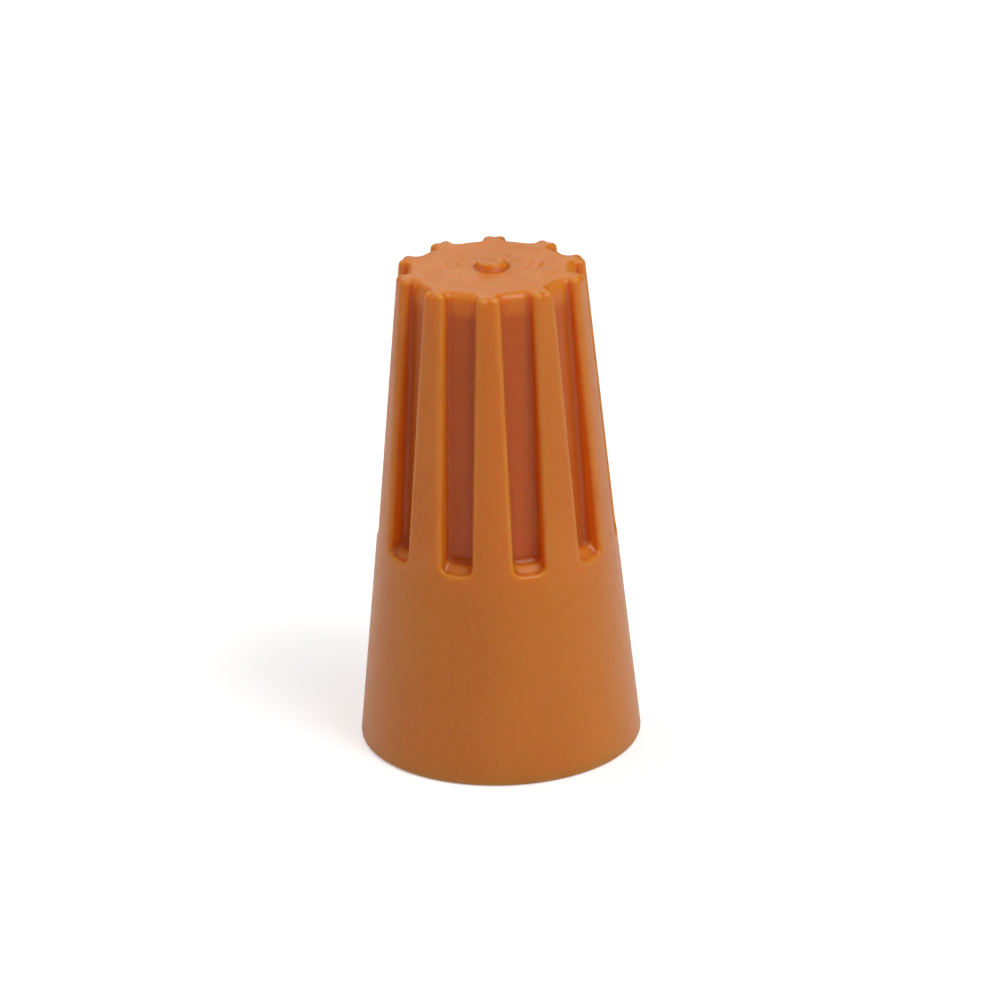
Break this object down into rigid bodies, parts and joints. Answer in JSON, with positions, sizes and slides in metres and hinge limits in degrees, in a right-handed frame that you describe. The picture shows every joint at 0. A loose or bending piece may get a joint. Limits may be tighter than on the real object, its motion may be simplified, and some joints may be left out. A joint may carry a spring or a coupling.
{
  "type": "twist wire connector",
  "caption": "Tapered ribbed plastic cap, open at its wide end, with a conical square-wire spring inside that threads onto twisted electrical conductors to join and cover them.",
  "frame": {"origin": "centre of the mouth rim, on the plane that the connector stands on", "axes": "+Z along the axis, from the open mouth to the closed end; a grip rib faces -Y"},
  "size_m": [0.0124, 0.0124, 0.0221],
  "materials": {
    "shell_plastic": "orange moulded thermoplastic, satin, slightly translucent at thin edges",
    "spring_steel": "square spring steel wire, bright zinc plate"
  },
  "bodies": {
    "root": {"shell": "shell_plastic", "spring": "spring_steel"}
  },
  "joints": []
}
